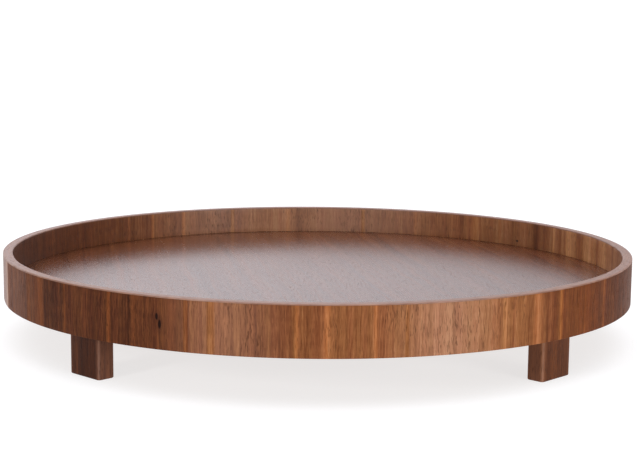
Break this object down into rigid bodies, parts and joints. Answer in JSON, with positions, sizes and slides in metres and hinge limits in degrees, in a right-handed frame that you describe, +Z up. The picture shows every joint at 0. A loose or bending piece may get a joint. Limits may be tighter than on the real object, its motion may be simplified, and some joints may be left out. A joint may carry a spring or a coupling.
{
  "type": "footed serving tray",
  "caption": "Large round walnut-veneered tray with a low upright rim, standing on short rectangular wooden feet.",
  "frame": {"origin": "centre of the footprint, on the surface the feet stand on", "axes": "+Z up, square to the tray; +X and +Y lie between pairs of feet, which stand on the diagonals"},
  "size_m": [0.6, 0.6, 0.083],
  "materials": {
    "rim_outer_walnut": "satin lacquered walnut veneer, grain upright",
    "rim_inner_walnut": "satin lacquered walnut veneer, grain upright",
    "rim_edge_walnut": "satin lacquered walnut edge band, softly rounded",
    "panel_walnut": "satin lacquered walnut veneer, open pored",
    "panel_back_walnut": "matt walnut backing veneer",
    "foot_walnut": "satin lacquered solid walnut",
    "plywood": "bare plywood edge",
    "beech": "plain fluted beech dowel"
  },
  "bodies": {
    "root": {"rim_core": "plywood", "rim_outer_veneer": "rim_outer_walnut", "rim_inner_veneer": "rim_inner_walnut", "rim_lower_inner_veneer": "rim_inner_walnut", "rim_edge_band": "rim_edge_walnut", "panel_core": "plywood", "panel_top_veneer": "panel_walnut", "panel_back_veneer": "panel_back_walnut", "foot_1": "foot_walnut", "foot_2": "foot_walnut", "foot_3": "foot_walnut", "foot_4": "foot_walnut", "foot_1_dowel_a": "beech", "foot_1_dowel_b": "beech", "foot_2_dowel_a": "beech", "foot_2_dowel_b": "beech", "foot_3_dowel_a": "beech", "foot_3_dowel_b": "beech", "foot_4_dowel_a": "beech", "foot_4_dowel_b": "beech"}
  },
  "joints": []
}
